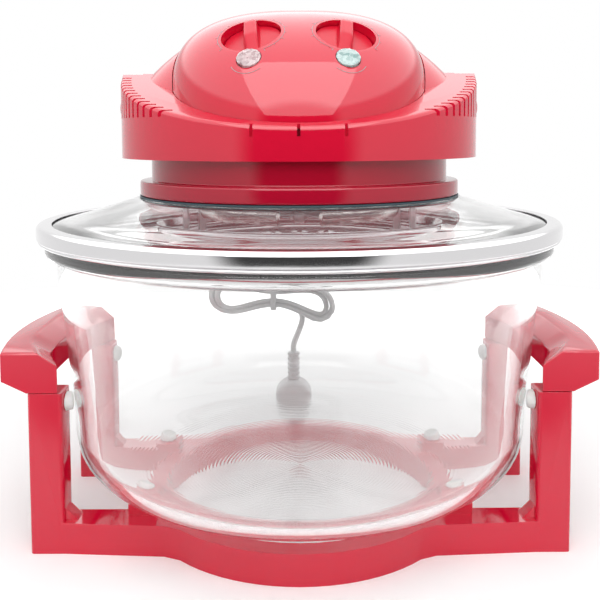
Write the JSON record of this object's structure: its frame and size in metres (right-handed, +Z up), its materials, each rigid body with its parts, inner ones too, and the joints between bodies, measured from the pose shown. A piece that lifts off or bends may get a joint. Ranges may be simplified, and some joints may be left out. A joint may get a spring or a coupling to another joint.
{
  "type": "halogen_oven",
  "caption": "Tabletop halogen oven: round glass bowl in a red stand with two side handles, glass lid with a red heating head, two dials, folding carry handle and a tied grey mains cord.",
  "frame": {"origin": "on the floor under the axis of the glass bowl", "axes": "+Z up, -Y towards the front with the dials, +X to the right as seen from behind the dials' user side, along the line through both side handles"},
  "size_m": [0.38, 0.378, 0.3381],
  "materials": {
    "red_plastic": null,
    "dark_red_plastic": null,
    "white_silicone": null,
    "clear_glass": null,
    "steel": null,
    "dull_steel": null,
    "black_rubber": null,
    "black_plastic": null,
    "clear_lens": null,
    "green_lens": null,
    "grey_cord": null,
    "quartz": null
  },
  "bodies": {
    "stand": {"stand_base": "red_plastic", "side_handle_left": "red_plastic", "side_handle_right": "red_plastic", "side_pad_front_left": "white_silicone", "side_pad_front_right": "white_silicone", "side_pad_rear_left": "white_silicone", "side_pad_rear_right": "white_silicone", "base_pad_front_left": "white_silicone", "base_pad_front_right": "white_silicone", "base_pad_rear_left": "white_silicone", "base_pad_rear_right": "white_silicone"},
    "bowl": {"glass_bowl": "clear_glass"},
    "carry_bail": {"carry_handle": "red_plastic", "pivot_cap_left": "red_plastic", "pivot_cap_right": "red_plastic", "handle_cam": "black_plastic"},
    "left_knob": {"temperature_knob": "red_plastic"},
    "right_knob": {"timer_knob": "red_plastic"},
    "fan_rotor": {"motor_shaft": "dull_steel", "cooling_fan": "dull_steel", "convection_fan": "dull_steel", "fan_nut": "dull_steel"},
    "plunger": {"switch_plunger": "white_silicone"},
    "lid": {"control_dome": "red_plastic", "cord_gland": "grey_cord", "cord_hank": "grey_cord", "cord_lower": "grey_cord", "cord_tie": "grey_cord", "cord_upper": "grey_cord", "fan_motor": "dull_steel", "glass_lid": "clear_glass", "guard_post_1": "dull_steel", "guard_post_2": "dull_steel", "guard_post_3": "dull_steel", "guard_post_4": "dull_steel", "halogen_lamp": "quartz", "head_base": "dark_red_plastic", "heat_lens": "green_lens", "lamp_clip_1": "dull_steel", "lamp_clip_2": "dull_steel", "lamp_clip_3": "dull_steel", "lamp_guard": "steel", "lid_gasket": "black_rubber", "lid_rim_band": "steel", "motor_bracket": "dull_steel", "plug_body": "grey_cord", "plug_pin_left": "steel", "plug_pin_right": "steel", "plug_relief": "grey_cord", "power_lens": "clear_lens", "reflector_plate": "steel", "safety_switch": "black_plastic", "thermostat": "dull_steel", "timer": "dull_steel", "top_shell": "red_plastic"}
  },
  "joints": [
    {"name": "bowl_lift", "type": "slide", "parent": "stand", "child": "bowl", "axis": [0, 0, 1], "range_m": [0, 0.2]},
    {"name": "lid_lift", "type": "slide", "parent": "bowl", "child": "lid", "axis": [0, 0, 1], "range_m": [0, 0.2]},
    {"name": "carry_handle_hinge", "type": "hinge", "parent": "lid", "child": "carry_bail", "pos_m": [0, 0.009, 0.274], "axis": [1, 0, 0], "range_deg": [0, 90]},
    {"name": "temperature_turn", "type": "hinge", "parent": "lid", "child": "left_knob", "pos_m": [-0.0285, -0.0602, 0.31671], "axis": [0.2001, 0.5504, -0.8106], "range_deg": [0, 270]},
    {"name": "timer_turn", "type": "hinge", "parent": "lid", "child": "right_knob", "pos_m": [0.0285, -0.0602, 0.31671], "axis": [-0.2001, 0.5504, -0.8106], "range_deg": [0, 300]},
    {"name": "fan_spin", "type": "hinge", "parent": "lid", "child": "fan_rotor", "pos_m": [0, 0, 0.2345], "axis": [0, 0, 1], "continuous": true},
    {"name": "switch_slide", "type": "slide", "parent": "lid", "child": "plunger", "axis": [0, 1, 0], "range_m": [0, 0.0024]}
  ],
  "couplings": [
    {"joint": "switch_slide", "follows": "carry_handle_hinge", "m_per_rad": 0.0015}
  ]
}
